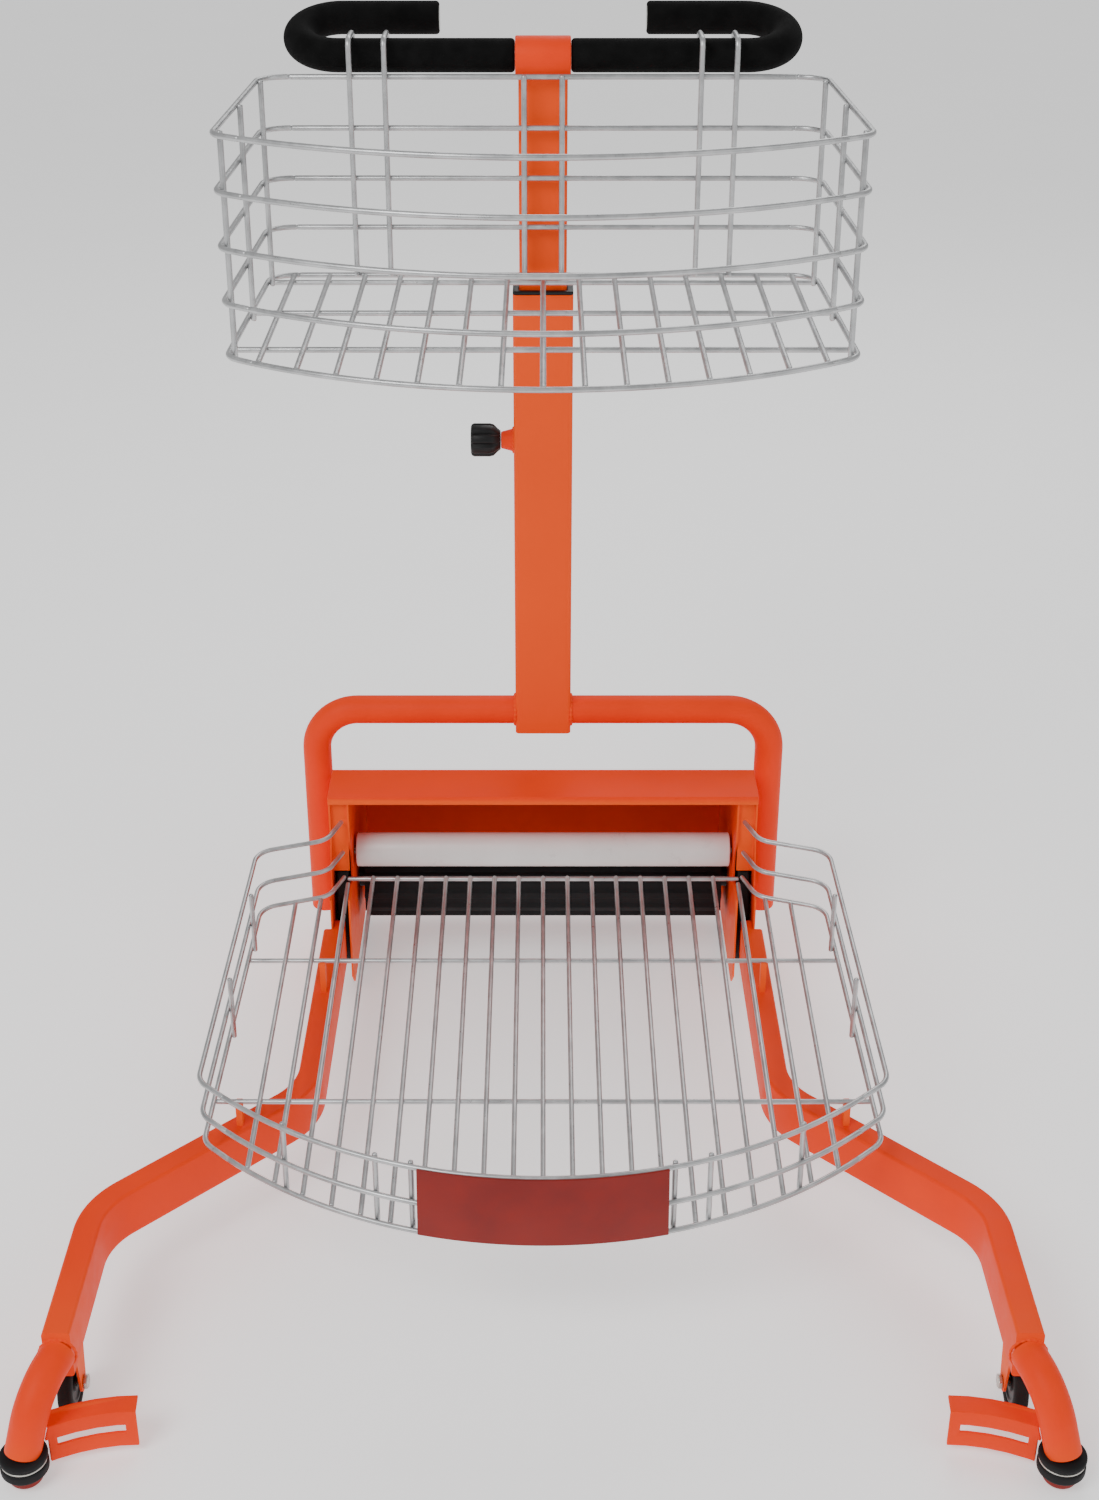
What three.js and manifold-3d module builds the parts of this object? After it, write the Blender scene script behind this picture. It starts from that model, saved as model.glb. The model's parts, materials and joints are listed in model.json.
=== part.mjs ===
// Push cart that gathers tennis balls from a court. A rotor turned by two drive wheels throws the
// balls up under a hood and over a guide roller into the lower wire basket. A second wire basket
// hangs from the handlebar on a telescopic mast.
// Millimetres. +X right, +Y towards the person pushing, +Z up. Origin on the floor, mid-plan.
import * as THREE from "three";
import { mergeVertices } from "three/addons/utils/BufferGeometryUtils.js";
import Module from "manifold-3d";

const wasm = await Module();
wasm.setup();

// ---- driving dimensions ----
const GAP = 0.3;

const ARCH = { x: 267, y: 393, foot: 50, top: 318, r: 16.5, wall: 2, bend: 50 };
const MAST = { width: 64, depth: 37, wall: 2, low: 295, high: 812 };
const COLLAR = { lip: 4, sleeve: 40 };
const INNER = { width: 50, depth: 24, wall: 2, low: 560, high: 1034 };
const BAR = {
  z: 1051, r: 12.5, wall: 2, foam: 16.5, reach: 248.5, end: 107, back: 81, rise: 25, clamp: 28, cheek: 19,
};
const KNOB = {
  z: 647, r: 18.5, out: 79, near: 46, stud: 4, flutes: 8, flute: 3.4, edge: 3, neck: 11, waist: 9,
};
const BOSS = { tip: 9, root: 13 };

const RAIL = { x: 240, width: 25, low: 62, high: 112, wall: 1.5, back: 239, bend: -57 };
const ARM = { x: 424, elbow: -240, tip: -412, bendRadius: 80 };
const LEG = {
  r: 16, start: [424, -411, 88], knee: [436, -455, 84], foot: [448, -470, 22], end: 31.8, bend: 45,
};
const ROLLER = { r: 21, hub: 12, low: 12, high: 31.5, groove: [22.3, 24.6], pin: 5, pinTop: 40, cap: 15 };
const GUIDE = {
  near: 355, far: 440, inner: -440, outer: -465, low: 8, high: 48, sheet: 3, flange: 20, margin: 10,
  slot: [24, 32.5],
};
const WHEEL = { x: 424, y: -385, r: 29.5, width: 13, rim: 20, axle: 4, head: 7, headDepth: 4 };
const FORK = { plates: [412.5, 433.5], sheet: 2, end: 9, half: 14 };
const STAND = { places: [[301, -118], [240, 116]], halfX: 3, halfY: 6 };

const ROTOR = { y: 373, z: 105, r: 50, half: 211.7, ribs: 14, rib: 4, axle: 8, axleHalf: 247 };
const DRIVE = { r: 105, rim: 94, near: 226, far: 239, sleeve: 14 };
const HOOD = { half: 244, r: 115, sheet: 2, lip: 273, top: 266, crown: 339, fold: 10, tail: -45 };
const PLATE = {
  inner: 221, outer: 242, sheet: 2, front: 243, low: 24, chin: 44, sill: 148, notch: [151, 178], neck: 205,
  innerNotch: 292, outerNotch: 264,
};
const FLAP = { near: 223.4, y: [281, 283], z: [165, 262] };
const SPACER = { half: 8, z: [150, 215] };
const BLOCK = { near: 229.3, far: 241.7, y: [203, 261], z: [64, 110] };
const THROAT = { y: 323, z: 169, r: 20, half: 218, shaft: 5, shaftHalf: 225.2 };

const LOWER = {
  z: 130, slope: 0.0507, levels: [0, 33, 73], wire: 5.2, bow: 460, front: -316, reach: 296, bend: 25,
  side: [[326.5, -181], [318, 212], [243, 236.5], [229, 276]],
  frontPosts: [-240, -152, -119, 119, 152, 240], sidePosts: [[323.4, -20], [320.5, 130]],
};
const UPPER = {
  z: 835, rise: 49.75, count: 5, wire: 5.6, bow: 480, front: -23, back: 369, reach: 262, corner: 290,
  rear: 283, backReach: 253, bend: 28, frontPosts: [-256, 256], sidePosts: [205, 335],
  backPosts: [-193, -158, -19, 19, 158, 193],
};
const BADGE = { half: 112, height: 75, sheet: 2 };
const HOOK = { x: [158, 193], drop: 1040, wire: 2.8, bend: 8 };
const FLOOR = 0.85;

const ORANGE = { color: 0xff5a14, roughness: 0.42, metalness: 0.1 };
const RED = { color: 0x8c1c12, roughness: 0.45, metalness: 0.1 };
const FOAM = { color: 0x141414, roughness: 0.95, metalness: 0 };
const RUBBER = { color: 0x1a1a1b, roughness: 0.85, metalness: 0 };
const PLASTIC = { color: 0x121212, roughness: 0.4, metalness: 0 };
const WHITE = { color: 0xf2f1ee, roughness: 0.35, metalness: 0 };
const WIRE = { color: 0xd2d3d2, roughness: 0.35, metalness: 0.6 };
const ZINC = { color: 0xb8b5ac, roughness: 0.3, metalness: 0.9 };

const cart = new THREE.Group();

function add(name, geometry, look) {
  const mesh = new THREE.Mesh(geometry, new THREE.MeshStandardMaterial(look));
  mesh.name = name;
  cart.add(mesh);
}

// Adds one piece on each side; the geometry given is the right-hand one.
function addPair(name, geometry, look) {
  add(`${name}_left`, mirror(geometry), look);
  add(`${name}_right`, geometry, look);
}

function mirror(geometry) {
  const copy = geometry.index ? geometry.toNonIndexed() : geometry.clone();
  copy.deleteAttribute("normal");
  copy.deleteAttribute("uv");
  copy.scale(-1, 1, 1);
  const corners = copy.attributes.position.array;
  for (let i = 0; i < corners.length; i += 9) {
    const second = corners.slice(i + 3, i + 6);
    corners.copyWithin(i + 3, i + 6, i + 9);
    corners.set(second, i + 6);
  }
  return copy;
}

// ---- joining and cutting ----
function solid(geometry) {
  const plain = geometry.index ? geometry.toNonIndexed() : geometry.clone();
  plain.deleteAttribute("normal");
  plain.deleteAttribute("uv");
  const merged = mergeVertices(plain, 1e-3);
  const vertProperties = merged.attributes.position.array;
  const triVerts = new Uint32Array(merged.index.array);
  return new wasm.Manifold(new wasm.Mesh({ numProp: 3, vertProperties, triVerts }));
}

function geometryOf(manifold) {
  const mesh = manifold.getMesh();
  const geometry = new THREE.BufferGeometry();
  geometry.setAttribute("position", new THREE.BufferAttribute(mesh.vertProperties, 3));
  geometry.setIndex(new THREE.BufferAttribute(mesh.triVerts, 1));
  return geometry;
}

function join(pieces) {
  return geometryOf(pieces.map(solid).reduce((sum, piece) => sum.add(piece)));
}

function cut(body, tools) {
  return geometryOf(tools.map(solid).reduce((rest, tool) => rest.subtract(tool), solid(body)));
}

// ---- basic shapes ----
function box(x, y, z) {
  const geometry = new THREE.BoxGeometry(x[1] - x[0], y[1] - y[0], z[1] - z[0]);
  return geometry.translate((x[0] + x[1]) / 2, (y[0] + y[1]) / 2, (z[0] + z[1]) / 2);
}

function latheZ(profile, x, y, segments) {
  const points = profile.map(([r, z]) => new THREE.Vector2(r, z));
  return new THREE.LatheGeometry(points, segments).rotateX(Math.PI / 2).translate(x, y, 0);
}

// A profile of [radius, x] pairs turned about an axis along X.
function latheX(profile, y, z, segments = 24) {
  const points = profile.map(([r, x]) => new THREE.Vector2(r, x));
  return new THREE.LatheGeometry(points, segments).rotateZ(-Math.PI / 2).translate(0, y, z);
}

function rod(r, x, y, z, segments = 20) {
  return latheX([[0, x[0]], [r, x[0]], [r, x[1]], [0, x[1]]], y, z, segments);
}

function ringX(outer, inner, x, y, z, segments = 24) {
  const profile = [[inner, x[0]], [outer, x[0]], [outer, x[1]], [inner, x[1]], [inner, x[0]]];
  return latheX(profile, y, z, segments);
}

function prismZ(shape, z, curveSegments = 6) {
  const settings = { depth: z[1] - z[0], bevelEnabled: false, curveSegments };
  return new THREE.ExtrudeGeometry(shape, settings).translate(0, 0, z[0]);
}

// An outline in the Y-Z plane, solid from one X to another.
function prismX(shape, x, curveSegments = 12) {
  const settings = { depth: x[1] - x[0], bevelEnabled: false, curveSegments };
  const turn = new THREE.Matrix4().set(
    0, 0, 1, 0,
    1, 0, 0, 0,
    0, 1, 0, 0,
    0, 0, 0, 1,
  );
  return new THREE.ExtrudeGeometry(shape, settings).applyMatrix4(turn).translate(x[0], 0, 0);
}

// Straight runs joined by round corners, sampled only where the path turns.
class BentPath extends THREE.Curve {
  constructor(corners, radius, steps = 5) {
    super();
    const points = corners.map((corner) => new THREE.Vector3(...corner));
    this.samples = [points[0]];
    for (let i = 1; i < points.length - 1; i++) {
      this.samples.push(...roundCorner(points[i - 1], points[i], points[i + 1], radius, steps));
    }
    this.samples.push(points[points.length - 1]);
  }
  get steps() {
    return this.samples.length - 1;
  }
  getPoint(t, target = new THREE.Vector3()) {
    const place = Math.min(Math.max(t, 0) * this.steps, this.steps - 1e-9);
    const i = Math.floor(place);
    return target.lerpVectors(this.samples[i], this.samples[i + 1], place - i);
  }
  getPointAt(u, target) {
    return this.getPoint(u, target);
  }
  getTangentAt(u, target = new THREE.Vector3()) {
    const i = Math.round(u * this.steps);
    const at = this.samples[i];
    const arriving = at.clone().sub(this.samples[Math.max(i - 1, 0)]).normalize();
    const leaving = this.samples[Math.min(i + 1, this.steps)].clone().sub(at).normalize();
    return target.copy(arriving).add(leaving).normalize();
  }
}

function roundCorner(before, corner, after, radius, steps) {
  if (!radius) {
    return [corner];
  }
  const back = before.clone().sub(corner).normalize();
  const ahead = after.clone().sub(corner).normalize();
  const half = back.angleTo(ahead) / 2;
  const towards = back.clone().add(ahead).normalize();
  const centre = corner.clone().addScaledVector(towards, radius / Math.sin(half));
  const from = corner.clone().addScaledVector(back, radius / Math.tan(half)).sub(centre);
  const to = corner.clone().addScaledVector(ahead, radius / Math.tan(half)).sub(centre);
  const axis = from.clone().cross(to).normalize();
  const sweep = from.angleTo(to);
  const points = [];
  for (let i = 0; i <= steps; i++) {
    points.push(from.clone().applyAxisAngle(axis, (sweep * i) / steps).add(centre));
  }
  return points;
}

function sweep(section, path, curveSegments = 8) {
  const settings = { steps: path.steps, extrudePath: path, bevelEnabled: false, curveSegments };
  return new THREE.ExtrudeGeometry(section, settings);
}

function tube(path, outer, inner = 0, curveSegments = 8) {
  const section = new THREE.Shape().absarc(0, 0, outer, 0, 2 * Math.PI);
  if (inner) {
    section.holes.push(new THREE.Path().absarc(0, 0, inner, 0, 2 * Math.PI, true));
  }
  return sweep(section, path, curveSegments);
}

function squareSection(size) {
  const half = size / 2;
  const corners = [[-half, -half], [half, -half], [half, half], [-half, half]];
  return new THREE.Shape(corners.map(([x, y]) => new THREE.Vector2(x, y)));
}

// ---- arch, mast and handlebar ----
function arch() {
  const corners = [
    [-ARCH.x, ARCH.y, ARCH.foot],
    [-ARCH.x, ARCH.y, ARCH.top],
    [ARCH.x, ARCH.y, ARCH.top],
    [ARCH.x, ARCH.y, ARCH.foot],
  ];
  add("arch_frame", tube(new BentPath(corners, ARCH.bend, 4), ARCH.r, ARCH.r - ARCH.wall, 7), ORANGE);
}

function rectangular(width, depth, z) {
  return box([-width / 2, width / 2], [ARCH.y - depth / 2, ARCH.y + depth / 2], z);
}

function rectangularTube(size, z) {
  const core = rectangular(size.width - 2 * size.wall, size.depth - 2 * size.wall, [z[0] - 1, z[1] + 1]);
  return cut(rectangular(size.width, size.depth, z), [core]);
}

function mast() {
  const face = -MAST.width / 2;
  const bossProfile = [[0, -KNOB.near], [BOSS.tip, -KNOB.near], [BOSS.root, face + 1], [0, face + 1]];
  const boss = latheX(bossProfile, ARCH.y, KNOB.z, 16);
  const coreZ = [MAST.low - 1, MAST.high + 1];
  const core = rectangular(MAST.width - 2 * MAST.wall, MAST.depth - 2 * MAST.wall, coreZ);
  const archHole = rod(ARCH.r + GAP, [face - 1, 1 - face], ARCH.y, ARCH.top, 24);
  const screwHole = rod(KNOB.stud + GAP, [-KNOB.near - 1, 0], ARCH.y, KNOB.z, 12);
  const blank = join([rectangular(MAST.width, MAST.depth, [MAST.low, MAST.high]), boss]);
  add("mast_outer_tube", cut(blank, [core, archHole, screwHole]), ORANGE);

  const lipZ = [MAST.high + GAP, MAST.high + COLLAR.lip];
  const sleeveZ = [MAST.high - COLLAR.sleeve, MAST.high + 1];
  const wall = MAST.wall + GAP;
  const sleeve = rectangular(MAST.width - 2 * wall, MAST.depth - 2 * wall, sleeveZ);
  const bore = rectangular(INNER.width + 2 * GAP, INNER.depth + 2 * GAP, [sleeveZ[0] - 1, lipZ[1] + 1]);
  const lip = rectangular(MAST.width, MAST.depth, lipZ);
  add("mast_collar", cut(join([lip, sleeve]), [bore]), PLASTIC);
  add("mast_inner_tube", rectangularTube(INNER, [INNER.low, INNER.high]), ORANGE);
}

function clampKnob() {
  add("clamp_screw", rod(KNOB.stud, [-KNOB.near, -INNER.width / 2 - GAP], ARCH.y, KNOB.z, 12), ZINC);
  const [out, near, r] = [-KNOB.out, -KNOB.near - GAP, KNOB.r];
  const profile = [
    [0, out],
    [r - KNOB.edge, out],
    [r, out + KNOB.edge],
    [r, near - KNOB.waist],
    [KNOB.neck, near],
    [0, near],
  ];
  const flutes = [];
  for (let i = 0; i < KNOB.flutes; i++) {
    const angle = (2 * Math.PI * i) / KNOB.flutes;
    const y = ARCH.y + (r + 1) * Math.cos(angle);
    const z = KNOB.z + (r + 1) * Math.sin(angle);
    flutes.push(rod(KNOB.flute, [out - 1, near + 1], y, z, 6));
  }
  add("clamp_knob", cut(latheX(profile, ARCH.y, KNOB.z, 24), flutes), PLASTIC);
}

// Right half of the handlebar's centre line: out from the clamp, round the horn, and back inwards.
function hornCorners(start) {
  const [back, up] = [ARCH.y + BAR.back, BAR.z + BAR.rise];
  return [
    [start, ARCH.y, BAR.z],
    [BAR.reach, ARCH.y, BAR.z],
    [BAR.reach, back, up],
    [BAR.end, back, up],
  ];
}

function handlebar() {
  const bend = Math.hypot(BAR.back, BAR.rise) / 2 - 0.01;
  const half = hornCorners(0).slice(1);
  const other = half.map(([x, y, z]) => [-x, y, z]).reverse();
  add("handlebar", tube(new BentPath([...other, ...half], bend, 4), BAR.r, BAR.r - BAR.wall, 6), ZINC);
  const gripPath = new BentPath(hornCorners(BAR.clamp + GAP), bend, 4);
  addPair("foam_grip", tube(gripPath, BAR.foam, BAR.r + 2 * GAP, 6), FOAM);

  const clamp = new THREE.Shape();
  clamp.moveTo(ARCH.y - BAR.cheek, INNER.high + GAP);
  clamp.lineTo(ARCH.y + BAR.cheek, INNER.high + GAP);
  clamp.lineTo(ARCH.y + BAR.cheek, BAR.z);
  clamp.absarc(ARCH.y, BAR.z, BAR.cheek, 0, Math.PI, false);
  clamp.closePath();
  clamp.holes.push(new THREE.Path().absarc(ARCH.y, BAR.z, BAR.r + GAP, 0, 2 * Math.PI, true));
  add("bar_clamp", prismX(clamp, [-BAR.clamp, BAR.clamp], 8), ORANGE);
}

// ---- arms ----
// Plan centre line of the right arm: along the rail, out at 45 degrees, then ahead to the tip.
function armLine(start) {
  return new BentPath(
    [[RAIL.x, start, 0], [RAIL.x, RAIL.bend, 0], [ARM.x, ARM.elbow, 0], [ARM.x, ARM.tip, 0]],
    ARM.bendRadius,
  );
}

function armPlan(half, start, trim) {
  const line = armLine(start);
  const left = [];
  const right = [];
  for (let i = 0; i <= line.steps; i++) {
    const point = line.samples[i].clone();
    const heading = line.getTangentAt(i / line.steps);
    const across = new THREE.Vector3(-heading.y, heading.x, 0).multiplyScalar(half);
    if (i === line.steps) {
      point.y += trim;
    }
    left.push(point.clone().add(across));
    right.push(point.clone().sub(across));
  }
  const outline = [...left, ...right.reverse()].map((point) => new THREE.Vector2(point.x, point.y));
  return new THREE.Shape(outline);
}

// The two plates under the arm that carry the front wheel's axle.
function wheelFork() {
  const { y, r, axle } = WHEEL;
  const shape = new THREE.Shape();
  shape.absarc(y, r, FORK.end, Math.PI, 2 * Math.PI, false);
  shape.lineTo(y + FORK.half, RAIL.low + 1);
  shape.lineTo(y - FORK.half, RAIL.low + 1);
  shape.closePath();
  shape.holes.push(new THREE.Path().absarc(y, r, axle + GAP, 0, 2 * Math.PI, true));
  return FORK.plates.map((x) => prismX(shape, [x, x + FORK.sheet], 6));
}

function basketStand([x, y]) {
  const { halfX, halfY } = STAND;
  const top = LOWER.z + LOWER.slope * (y - halfY - LOWER.front) - LOWER.wire / 2 - GAP;
  return box([x - halfX, x + halfX], [y - halfY, y + halfY], [RAIL.high - 1, top]);
}

function legTube(r) {
  return tube(new BentPath([LEG.start, LEG.knee, LEG.foot], LEG.bend, 4), r, 0, 7);
}

function arms() {
  const skin = prismZ(armPlan(RAIL.width / 2, RAIL.back, 0), [RAIL.low, RAIL.high]);
  const hollowZ = [RAIL.low + RAIL.wall, RAIL.high - RAIL.wall];
  const hollow = prismZ(armPlan(RAIL.width / 2 - RAIL.wall, RAIL.back + 5, RAIL.wall), hollowZ);
  const [x, y] = LEG.foot;
  const [holeLow, holeHigh] = [ROLLER.low, ROLLER.pinTop + 2];
  const hole = ROLLER.pin + GAP;
  const pinHole = latheZ([[0, holeLow], [hole, holeLow], [hole, holeHigh], [0, holeHigh]], x, y, 16);
  const belowLeg = box([x - LEG.end, x + LEG.end], [y - LEG.end, y + LEG.end], [0, LEG.end]);
  const hollowed = cut(join([skin, ...STAND.places.map(basketStand)]), [hollow]);
  addPair("arm", cut(join([hollowed, cut(legTube(LEG.r), [belowLeg]), ...wheelFork()]), [pinHole]), ORANGE);
}

function legFeet() {
  const [x, y] = LEG.foot;
  const { r, hub, low, high, groove, pin, pinTop, cap } = ROLLER;
  const rollerProfile = [
    [pin + GAP, low],
    [r, low],
    [r, groove[0]],
    [hub, groove[0]],
    [hub, groove[1]],
    [r, groove[1]],
    [r, high],
    [pin + GAP, high],
    [pin + GAP, low],
  ];
  addPair("bumper_roller", latheZ(rollerProfile, x, y, 18), RUBBER);
  const washer = [
    [hub + GAP, groove[0] + GAP],
    [r - 1, groove[0] + GAP],
    [r - 1, groove[1] - GAP],
    [hub + GAP, groove[1] - GAP],
    [hub + GAP, groove[0] + GAP],
  ];
  addPair("roller_washer", latheZ(washer, x, y, 18), ZINC);
  const capProfile = [
    [0, 0],
    [cap - 3, 0],
    [cap, 3],
    [cap, low - GAP],
    [pin, low - GAP],
    [pin, pinTop],
    [0, pinTop],
  ];
  addPair("leg_cap", latheZ(capProfile, x, y, 14), RED);
}

// Upright slotted plate that curves inwards from the leg, with a flange folded back along its top.
function ballGuides() {
  const { near, far, inner, outer, low, high, sheet, flange, slot, margin } = GUIDE;
  const line = [];
  for (let i = 0; i <= 5; i++) {
    const t = i / 5;
    line.push([near + (far - near) * t, inner + (outer - inner) * t * t]);
  }
  const band = (depth) => planShape([...line, ...offsetLine(line, depth).reverse()]);
  const plate = prismZ(band(sheet), [low, high]);
  const top = prismZ(band(flange), [high - sheet, high]);
  const openingX = [near + margin, LEG.foot[0] - LEG.r - margin];
  const opening = box(openingX, [outer - sheet, inner + 2 * sheet], slot);
  const room = ROLLER.r + 2;
  const roomTop = ROLLER.high + 2;
  const rollerRoom = latheZ([[0, 0], [room, 0], [room, roomTop], [0, roomTop]], LEG.foot[0], LEG.foot[1], 32);
  addPair("ball_guide", cut(join([plate, top]), [opening, legTube(LEG.r + 2 * GAP), rollerRoom]), ORANGE);
}

function frontWheels() {
  const { x, y, r, width, rim, axle, head, headDepth } = WHEEL;
  const [near, far] = [x - width / 2, x + width / 2];
  addPair("front_tyre", ringX(r, rim, [near, far], y, r, 28), RUBBER);
  addPair("front_hub", ringX(rim - GAP, axle + GAP, [near + 1, far - 1], y, r, 28), PLASTIC);
  const [inside, outside] = [FORK.plates[0] - GAP, FORK.plates[1] + FORK.sheet + GAP];
  const bolt = rod(axle, [inside - 1, outside + 1], y, r, 16);
  const ends = [[inside - headDepth, inside], [outside, outside + headDepth]];
  const heads = ends.map((span) => rod(head, span, y, r, 6));
  addPair("front_axle", join([bolt, ...heads]), ZINC);
}

// ---- hood, side boxes and rotor ----
function polar(r, degrees) {
  const angle = THREE.MathUtils.degToRad(degrees);
  return [ROTOR.y + r * Math.cos(angle), ROTOR.z + r * Math.sin(angle)];
}

// Degrees, round the rotor's axis, where a line from the end of the flat top touches the hood's round.
function touchAngle(r, top) {
  const [dy, dz] = [HOOD.crown - ROTOR.y, top - ROTOR.z];
  const towards = Math.atan2(dz, dy);
  return THREE.MathUtils.radToDeg(towards - Math.acos(r / Math.hypot(dy, dz)));
}

function hood() {
  const outer = HOOD.r;
  const inner = HOOD.r - HOOD.sheet;
  const under = HOOD.top - HOOD.sheet;
  const start = THREE.MathUtils.degToRad(HOOD.tail);
  const [outerTouch, innerTouch] = [touchAngle(outer, HOOD.top), touchAngle(inner, under)];
  const shape = new THREE.Shape();
  shape.absarc(ROTOR.y, ROTOR.z, outer, start, THREE.MathUtils.degToRad(outerTouch), false);
  shape.lineTo(HOOD.crown, HOOD.top);
  shape.lineTo(HOOD.lip, HOOD.top);
  shape.lineTo(HOOD.lip, HOOD.top - HOOD.fold);
  shape.lineTo(HOOD.lip + HOOD.sheet, HOOD.top - HOOD.fold);
  shape.lineTo(HOOD.lip + HOOD.sheet, under);
  shape.lineTo(HOOD.crown, under);
  shape.lineTo(...polar(inner, innerTouch));
  shape.absarc(ROTOR.y, ROTOR.z, inner, THREE.MathUtils.degToRad(innerTouch), start, true);
  shape.closePath();
  add("hood", prismX(shape, [-HOOD.half, HOOD.half], 10), ORANGE);
}

// Side view of a box plate, just inside the hood; notch keeps its front edge clear of the lower basket.
function plateOutline(notch) {
  const r = HOOD.r - HOOD.sheet - GAP;
  const top = HOOD.top - HOOD.sheet - GAP;
  const shape = new THREE.Shape();
  shape.moveTo(PLATE.front, PLATE.chin);
  shape.lineTo(PLATE.front, PLATE.sill);
  shape.lineTo(notch, PLATE.notch[0]);
  shape.lineTo(notch, PLATE.notch[1]);
  shape.lineTo(HOOD.lip + 3, PLATE.neck);
  shape.lineTo(HOOD.lip + 3, top);
  shape.lineTo(HOOD.crown, top);
  const end = THREE.MathUtils.degToRad(HOOD.tail);
  shape.absarc(ROTOR.y, ROTOR.z, r, THREE.MathUtils.degToRad(touchAngle(r, top)), end, true);
  shape.lineTo(ROTOR.y, PLATE.low);
  shape.lineTo(PLATE.front + PLATE.chin - PLATE.low, PLATE.low);
  shape.closePath();
  return shape;
}

// Two plates a side; the outer one has a flap folded inwards in front of the drive wheel.
function sideBoxes() {
  const across = [PLATE.inner - 1, PLATE.outer + PLATE.sheet + 1];
  const sleeveHole = rod(DRIVE.sleeve + 1.5, across, ROTOR.y, ROTOR.z);
  const shaftHole = rod(THROAT.shaft + GAP, across, THROAT.y, THROAT.z, 16);
  const axleHole = rod(ROTOR.axle + GAP, across, ROTOR.y, ROTOR.z);
  const inner = prismX(plateOutline(PLATE.innerNotch), [PLATE.inner, PLATE.inner + PLATE.sheet], 6);
  addPair("inner_side_plate", cut(inner, [sleeveHole, shaftHole]), ORANGE);
  const outer = prismX(plateOutline(PLATE.outerNotch), [PLATE.outer, PLATE.outer + PLATE.sheet], 6);
  const flap = box([FLAP.near, PLATE.outer + 1], FLAP.y, FLAP.z);
  addPair("outer_side_plate", cut(join([outer, flap]), [axleHole]), ORANGE);
  addPair("rail_joint_block", box([BLOCK.near, BLOCK.far], BLOCK.y, BLOCK.z), ORANGE);
  const spacerX = [PLATE.outer + PLATE.sheet + GAP, ARCH.x - ARCH.r - GAP];
  addPair("leg_spacer", box(spacerX, [ARCH.y - SPACER.half, ARCH.y + SPACER.half], SPACER.z), ORANGE);
}

function rotor() {
  const points = [];
  for (let i = 0; i < ROTOR.ribs; i++) {
    const pitch = 360 / ROTOR.ribs;
    const middle = i * pitch;
    const root = ROTOR.r - ROTOR.rib;
    points.push(polar(root, middle - pitch * 0.3), polar(ROTOR.r, middle - pitch * 0.15));
    points.push(polar(ROTOR.r, middle + pitch * 0.15), polar(root, middle + pitch * 0.3));
  }
  const section = new THREE.Shape(points.map(([y, z]) => new THREE.Vector2(y, z)));
  section.holes.push(new THREE.Path().absarc(ROTOR.y, ROTOR.z, ROTOR.axle + 2 * GAP, 0, 2 * Math.PI, true));
  add("rotor", prismX(section, [-ROTOR.half, ROTOR.half]), RUBBER);
  add("axle", rod(ROTOR.axle, [-ROTOR.axleHalf, ROTOR.axleHalf], ROTOR.y, ROTOR.z, 16), ZINC);
}

function driveWheels() {
  const { r, rim, near, far, sleeve } = DRIVE;
  const bore = ROTOR.axle + GAP;
  const start = ROTOR.half + GAP;
  const hub = [
    [bore, start],
    [sleeve, start],
    [sleeve, near + 2],
    [rim, near + 2],
    [rim, far - 2],
    [bore, far - 2],
    [bore, start],
  ];
  addPair("drive_wheel", latheX(hub, ROTOR.y, ROTOR.z, 24), PLASTIC);
  addPair("drive_tyre", ringX(r, rim + 2 * GAP, [near, far], ROTOR.y, ROTOR.z, 40), RUBBER);
}

function guideRoller() {
  const { y, z, r, half, shaft, shaftHalf } = THROAT;
  add("guide_roller", ringX(r, shaft + GAP, [-half, half], y, z, 20), WHITE);
  add("guide_roller_shaft", rod(shaft, [-shaftHalf, shaftHalf], y, z, 14), ZINC);
}

// ---- wire baskets ----
function wireAlong(points, size) {
  return sweep(squareSection(size), new BentPath(points, 0, 0));
}

function bowPoint(x, radius, front) {
  return [x, front + radius - Math.sqrt(radius * radius - x * x)];
}

function bowPoints(reach, radius, front, count) {
  const points = [];
  for (let i = 0; i <= count; i++) {
    points.push(bowPoint(reach * ((2 * i) / count - 1), radius, front));
  }
  return points;
}

// Moves every point of a plan line to its left by the distance given.
function offsetLine(points, distance) {
  return points.map(([x, y], i) => {
    const before = points[Math.max(i - 1, 0)];
    const after = points[Math.min(i + 1, points.length - 1)];
    const [dx, dy] = [after[0] - before[0], after[1] - before[1]];
    const length = Math.hypot(dx, dy);
    return [x - (dy / length) * distance, y + (dx / length) * distance];
  });
}

function planShape(points) {
  return new THREE.Shape(points.map(([x, y]) => new THREE.Vector2(x, y)));
}

function flatLine(corners, radius, steps) {
  const raised = corners.map(([x, y]) => [x, y, 0]);
  return new BentPath(raised, radius, steps).samples.map((point) => [point.x, point.y]);
}

// A wall of the basket: level wires along a plan line, tied together by upright wires.
function wirePanel(line, levels, uprights, size) {
  const wires = levels.map((z) => wireAlong(line.map(([x, y]) => [x, y, z]), size));
  const half = size / 2;
  const [low, high] = [levels[0], levels[levels.length - 1]];
  const posts = uprights.map(([x, y]) => box([x - half, x + half], [y - half, y + half], [low, high]));
  return join([...wires, ...posts]);
}

// The floor is a thin tray of the same mass as its wires, trimmed to just inside the walls.
function basketFloor(outline) {
  return prismZ(planShape(outline), [-FLOOR / 2, FLOOR / 2]);
}

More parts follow.
